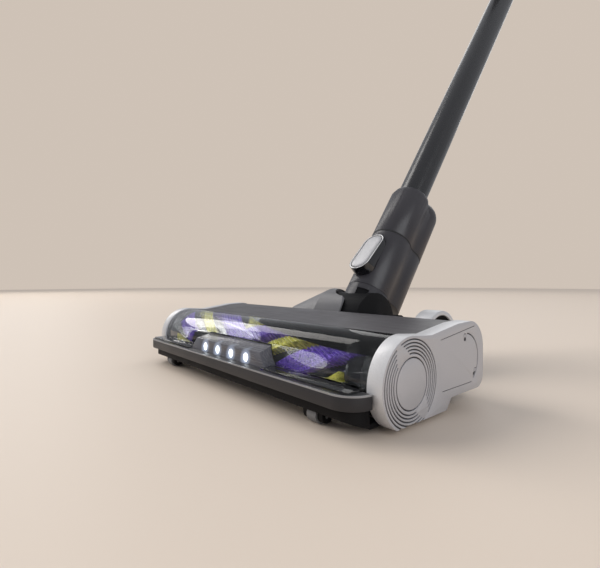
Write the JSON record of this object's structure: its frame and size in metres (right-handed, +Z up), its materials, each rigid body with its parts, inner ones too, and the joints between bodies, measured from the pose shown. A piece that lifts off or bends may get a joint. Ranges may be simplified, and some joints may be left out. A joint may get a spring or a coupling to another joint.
{
  "type": "cordless stick vacuum",
  "caption": "Cordless stick vacuum with a lit brush-roller floor head, clear brush window, tilting and swivelling neck, wand, and a hand unit with a dust bin and battery.",
  "frame": {"origin": "on the floor under the middle of the whole stick's width and depth", "axes": "+Z up, -Y the way the floor head faces, +X to the side of the end cap that turns to free the roller; the wand leans back from the head towards +Y"},
  "size_m": [0.3, 0.8992, 0.9839],
  "materials": {
    "dark_charcoal": "satin",
    "cover_grey": "fine matt",
    "silver_paint": "satin silver paint",
    "silver_button": "silver, satin",
    "black_plastic": "matt",
    "gloss_black": "gloss",
    "clear": "clear, gloss",
    "smoked_clear": "lightly smoked, gloss",
    "lens": "glowing",
    "light_grey_plastic": "satin",
    "purple_bristle": "brushed pile",
    "green_bristle": "brushed pile",
    "roller_plastic": "satin",
    "steel": "brushed",
    "aluminium": "turned",
    "wand_paint": "gloss black",
    "rubber": "soft matt",
    "circuit_green": "lacquered",
    "filter_foam": "open foam",
    "filter_paper": "pleated",
    "cell_wrap": "shrink wrap",
    "screen_black": "gloss"
  },
  "bodies": {
    "hand_unit": {"main_body": "dark_charcoal", "inlet_tube": "dark_charcoal", "bin_cup": "smoked_clear", "cyclone_cone": "light_grey_plastic", "mesh_shroud": "steel", "pre_filter": "filter_foam", "suction_motor": "steel", "motor_mount": "rubber", "display_pod": "gloss_black", "handle_grip": "dark_charcoal", "grip_pad": "rubber", "control_board": "circuit_green", "trigger_spring": "steel"},
    "bin_door": {"bin_door": "dark_charcoal"},
    "bin_latch": {"bin_latch": "silver_button"},
    "impeller": {"impeller": "aluminium"},
    "filter_cap": {"filter_cap": "cover_grey", "exhaust_filter": "filter_paper"},
    "trigger": {"trigger": "silver_button"},
    "mode_button": {"mode_button": "silver_button"},
    "inlet_button": {"inlet_button": "silver_button"},
    "battery": {"battery_pack": "dark_charcoal", "battery_cells": "cell_wrap"},
    "battery_latch": {"battery_latch": "silver_button"},
    "wand": {"lower_collar": "dark_charcoal", "contact_plug": "black_plastic", "wand_tube": "wand_paint", "upper_collar": "dark_charcoal"},
    "neck": {"neck_shell": "dark_charcoal", "button_pod": "gloss_black", "button_spring": "steel"},
    "neck_button": {"neck_button": "silver_button"},
    "hinge_barrel": {"hinge_barrel": "black_plastic"},
    "head": {"base_plate": "black_plastic", "chassis": "black_plastic", "top_cover": "cover_grey", "brush_window": "clear", "front_bumper": "cover_grey", "light_housing": "light_grey_plastic", "light_lenses": "lens", "light_board": "circuit_green", "left_end_cap": "silver_paint", "brush_motor": "steel", "drive_belt": "rubber", "rear_axles": "steel", "hinge_hood": "cover_grey", "rear_seal": "rubber", "base_screws": "steel"},
    "bearing_plug": {"bearing_plug": "black_plastic", "roller_bearing": "steel"},
    "right_end_cap": {"right_end_cap": "silver_paint"},
    "roller": {"roller_core": "roller_plastic", "purple_bristles": "purple_bristle", "green_bristles": "green_bristle"},
    "drive_hub": {"drive_hub": "black_plastic"},
    "motor_pulley": {"motor_pulley": "steel"},
    "front_wheel_left": {"front_wheel_left": "black_plastic"},
    "front_wheel_right": {"front_wheel_right": "black_plastic"},
    "rear_wheel_left": {"rear_wheel_left": "silver_paint"},
    "rear_wheel_right": {"rear_wheel_right": "silver_paint"}
  },
  "joints": [
    {"name": "bin_door_open", "type": "hinge", "parent": "hand_unit", "child": "bin_door", "pos_m": [0, 0.14377, 0.68118], "axis": [1, 0, 0], "range_deg": [0, 90]},
    {"name": "bin_latch_rock", "type": "hinge", "parent": "hand_unit", "child": "bin_latch", "pos_m": [0, 0.06678, 0.75573], "axis": [1, 0, 0], "range_deg": [-5, 0], "stiffness_Nm_per_rad": 0.3, "springref_deg": 2.86},
    {"name": "impeller_spin", "type": "hinge", "parent": "hand_unit", "child": "impeller", "pos_m": [0, 0.20731, 0.85927], "axis": [0, 0.5821, 0.8131], "continuous": true},
    {"name": "filter_cap_off", "type": "slide", "parent": "hand_unit", "child": "filter_cap", "axis": [0, 0.5821, 0.8131], "range_m": [0, 0.05]},
    {"name": "trigger_pull", "type": "slide", "parent": "hand_unit", "child": "trigger", "axis": [0, 0.5821, 0.8131], "range_m": [0, 0.006], "stiffness_N_per_m": 600, "springref_m": -0.003, "deforming": ["trigger_spring"]},
    {"name": "mode_button_press", "type": "slide", "parent": "hand_unit", "child": "mode_button", "axis": [0, -0.5821, -0.8131], "range_m": [0, 0.0015], "stiffness_N_per_m": 800, "springref_m": -0.001},
    {"name": "inlet_button_press", "type": "slide", "parent": "hand_unit", "child": "inlet_button", "axis": [0, -0.8131, 0.5821], "range_m": [0, 0.002], "stiffness_N_per_m": 800, "springref_m": -0.001},
    {"name": "battery_off", "type": "slide", "parent": "hand_unit", "child": "battery", "axis": [0, 0.8131, -0.5821], "range_m": [0, 0.05]},
    {"name": "battery_latch_press", "type": "slide", "parent": "battery", "child": "battery_latch", "axis": [0, 0.5821, 0.8131], "range_m": [0, 0.002], "stiffness_N_per_m": 800, "springref_m": -0.001},
    {"name": "wand_unplug", "type": "slide", "parent": "hand_unit", "child": "wand", "axis": [0, -0.5821, -0.8131], "range_m": [0, 0.045]},
    {"name": "neck_unplug", "type": "slide", "parent": "wand", "child": "neck", "axis": [0, -0.5821, -0.8131], "range_m": [0, 0.055]},
    {"name": "neck_button_press", "type": "slide", "parent": "neck", "child": "neck_button", "axis": [0, 0.6997, -0.7145], "range_m": [0, 0.002], "stiffness_N_per_m": 800, "springref_m": -0.001, "deforming": ["button_spring"]},
    {"name": "neck_swivel", "type": "hinge", "parent": "neck", "child": "hinge_barrel", "pos_m": [0, -0.28309, 0.042], "axis": [0, 0.5821, 0.8131], "range_deg": [-75, 75]},
    {"name": "head_tilt", "type": "hinge", "parent": "hinge_barrel", "child": "head", "pos_m": [0, -0.28309, 0.042], "axis": [1, 0, 0], "range_deg": [-25.6, 39]},
    {"name": "roller_pull_out", "type": "slide", "parent": "head", "child": "bearing_plug", "axis": [1, 0, 0], "range_m": [0, 0.285]},
    {"name": "end_cap_turn", "type": "hinge", "parent": "bearing_plug", "child": "right_end_cap", "pos_m": [0, -0.40509, 0.0265], "axis": [1, 0, 0], "range_deg": [0, 12]},
    {"name": "roller_spin", "type": "hinge", "parent": "bearing_plug", "child": "roller", "pos_m": [0, -0.40509, 0.0265], "axis": [1, 0, 0], "continuous": true},
    {"name": "drive_hub_spin", "type": "hinge", "parent": "head", "child": "drive_hub", "pos_m": [0, -0.40509, 0.0265], "axis": [1, 0, 0], "continuous": true},
    {"name": "motor_spin", "type": "hinge", "parent": "head", "child": "motor_pulley", "pos_m": [0, -0.34709, 0.033], "axis": [1, 0, 0], "continuous": true},
    {"name": "front_wheel_left_spin", "type": "hinge", "parent": "head", "child": "front_wheel_left", "pos_m": [-0.105, -0.43709, 0.0055], "axis": [1, 0, 0], "continuous": true},
    {"name": "front_wheel_right_spin", "type": "hinge", "parent": "head", "child": "front_wheel_right", "pos_m": [0.105, -0.43709, 0.0055], "axis": [1, 0, 0], "continuous": true},
    {"name": "rear_wheel_left_spin", "type": "hinge", "parent": "head", "child": "rear_wheel_left", "pos_m": [-0.075, -0.25509, 0.0285], "axis": [1, 0, 0], "continuous": true},
    {"name": "rear_wheel_right_spin", "type": "hinge", "parent": "head", "child": "rear_wheel_right", "pos_m": [0.075, -0.25509, 0.0285], "axis": [1, 0, 0], "continuous": true}
  ],
  "couplings": [
    {"joint": "drive_hub_spin", "follows": "roller_spin", "ratio": 1},
    {"joint": "motor_spin", "follows": "roller_spin", "ratio": 2}
  ]
}
